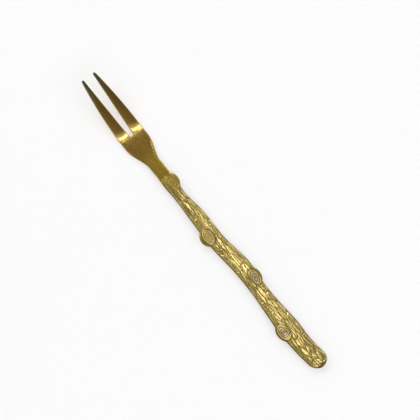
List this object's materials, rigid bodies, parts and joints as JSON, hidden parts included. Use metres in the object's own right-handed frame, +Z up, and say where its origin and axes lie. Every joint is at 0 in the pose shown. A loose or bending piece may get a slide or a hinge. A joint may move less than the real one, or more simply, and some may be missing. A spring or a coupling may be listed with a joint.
{
  "type": "fork",
  "caption": "Slim gold-coloured cutlery fork with long flat tapered tines bent up from a short blade, and a cast handle shaped as a knotty twig with bark furrows and cut branch stubs.",
  "frame": {"origin": "on the flat back of the handle, at the middle of the fork's length and of its width", "axes": "+Y along the fork towards the tine tips, +Z up out of the decorated front, +X to the right when the tips point away from the viewer"},
  "size_m": [0.012, 0.16, 0.009],
  "materials": {
    "head_gold": "polished gold-coloured sheet",
    "handle_gold": "gold-coloured casting, bright on the bark's plates and dark in its furrows"
  },
  "bodies": {
    "root": {"tine_head": "head_gold", "bark_handle": "handle_gold"}
  },
  "joints": []
}
